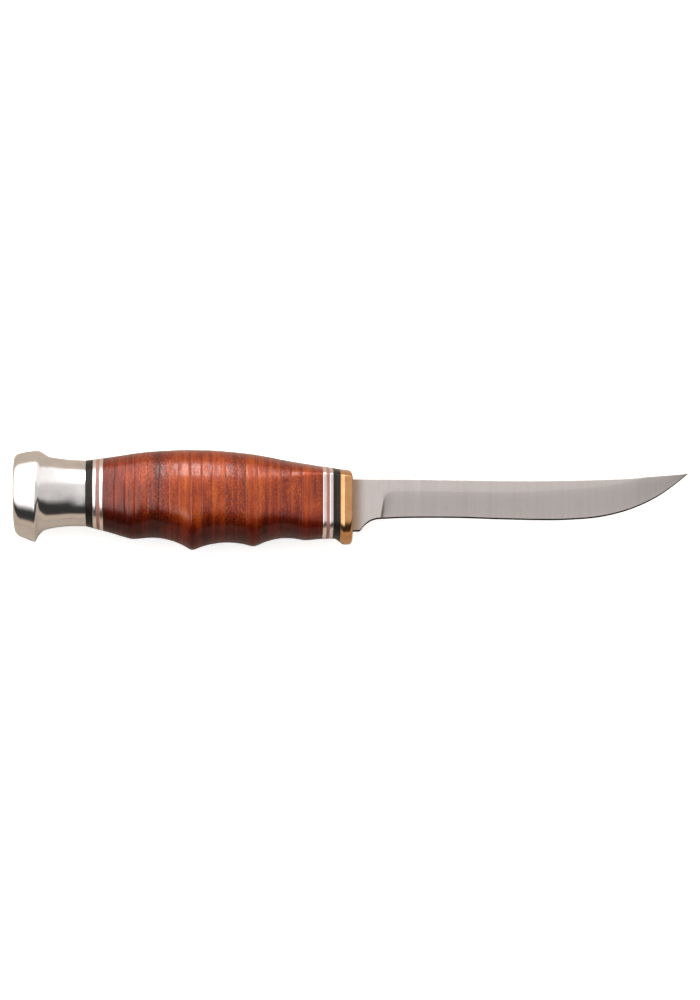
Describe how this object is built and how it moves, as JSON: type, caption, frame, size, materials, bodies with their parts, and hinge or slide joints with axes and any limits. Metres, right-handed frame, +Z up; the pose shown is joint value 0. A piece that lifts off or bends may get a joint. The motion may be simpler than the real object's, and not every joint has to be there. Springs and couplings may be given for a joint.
{
  "type": "boning knife",
  "caption": "Slim fixed-blade knife for boning and dressing small game, with a brass guard, a stacked leather handle with finger grooves and a flared metal pommel.",
  "frame": {"origin": "centre of the footprint at the lowest point, with the knife lying on its side", "axes": "+X from the pommel to the tip of the blade, +Y from the cutting edge to the spine, +Z up, across the thickness of the blade and handle"},
  "size_m": [0.203, 0.0302, 0.0212],
  "materials": {
    "blade_steel": "satin, ground across the blade",
    "guard_brass": "polished",
    "pommel_aluminium": "polished",
    "nut_steel": "turned",
    "black_fibre": "polished flush with the leather",
    "spacer_aluminium": "sheet, polished flush with the leather",
    "red_fibre": "polished flush with the leather",
    "leather": "edge-on washers, ground to shape and lacquered"
  },
  "bodies": {
    "root": {"blade": "blade_steel", "guard": "guard_brass", "black_spacer_front": "black_fibre", "aluminium_spacer_front_outer": "spacer_aluminium", "red_spacer_front": "red_fibre", "aluminium_spacer_front_inner": "spacer_aluminium", "leather_washer_01": "leather", "leather_washer_02": "leather", "leather_washer_03": "leather", "leather_washer_04": "leather", "leather_washer_05": "leather", "leather_washer_06": "leather", "leather_washer_07": "leather", "leather_washer_08": "leather", "leather_washer_09": "leather", "leather_washer_10": "leather", "leather_washer_11": "leather", "leather_washer_12": "leather", "leather_washer_13": "leather", "leather_washer_14": "leather", "leather_washer_15": "leather", "leather_washer_16": "leather", "leather_washer_17": "leather", "leather_washer_18": "leather", "leather_washer_19": "leather", "leather_washer_20": "leather", "aluminium_spacer_rear_inner": "spacer_aluminium", "red_spacer_rear": "red_fibre", "aluminium_spacer_rear_outer": "spacer_aluminium", "black_spacer_rear": "black_fibre", "pommel": "pommel_aluminium", "tang_nut": "nut_steel"}
  },
  "joints": []
}
